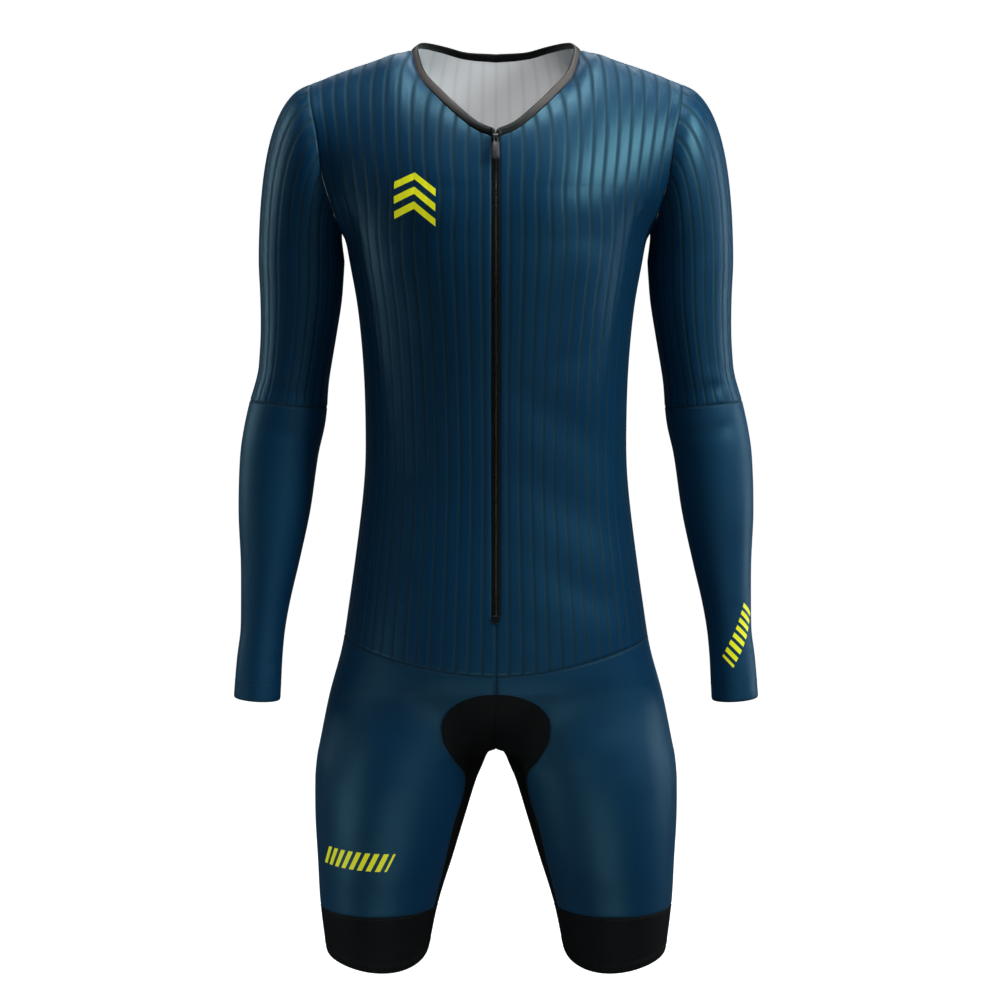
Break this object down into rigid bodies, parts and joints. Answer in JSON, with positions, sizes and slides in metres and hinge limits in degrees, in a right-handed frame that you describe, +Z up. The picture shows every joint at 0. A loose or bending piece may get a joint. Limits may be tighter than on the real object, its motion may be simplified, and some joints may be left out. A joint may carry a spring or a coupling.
{
  "type": "cycling skinsuit",
  "caption": "Long-sleeved one-piece cycling skinsuit in its worn, hollow form, with ribbed body, short front zip, black saddle gusset and leg bands.",
  "frame": {"origin": "middle of the neck opening, level with the seat of the collar on a wearer's shoulders", "axes": "+Z up towards the neck, -Y towards the front with the zip, +X towards the wearer's left"},
  "size_m": [0.5228, 0.2321, 0.9216],
  "materials": {
    "ribbed_cloth": "stretch knit with fine raised ribs and a satin sheen",
    "smooth_cloth": "smooth stretch knit with a satin sheen",
    "black_cloth": "matt black stretch knit",
    "elastic_band": "matt black elastic web",
    "neck_trim": "folded black binding with a soft sheen",
    "zip_coil": "black nylon coil on black tape",
    "zip_hardware": "dark lacquered die-cast metal"
  },
  "bodies": {
    "garment": {"front_left": "ribbed_cloth", "front_right": "ribbed_cloth", "back": "ribbed_cloth", "neck_binding": "neck_trim", "upper_sleeve_left": "ribbed_cloth", "upper_sleeve_right": "ribbed_cloth", "lower_sleeve_left": "smooth_cloth", "lower_sleeve_right": "smooth_cloth", "leg_left": "smooth_cloth", "leg_right": "smooth_cloth", "gusset_left": "black_cloth", "gusset_right": "black_cloth", "leg_band_left": "elastic_band", "leg_band_right": "elastic_band", "zip_chain": "zip_coil", "zip_bottom_stop": "zip_hardware", "zip_slider": "zip_hardware"},
    "pull_tab": {"zip_pull": "zip_hardware"}
  },
  "joints": [
    {"name": "pull_tab_hinge", "type": "hinge", "parent": "garment", "child": "pull_tab", "pos_m": [0, -0.10442, -0.09702], "axis": [-1, 0, 0], "range_deg": [0, 150]}
  ]
}
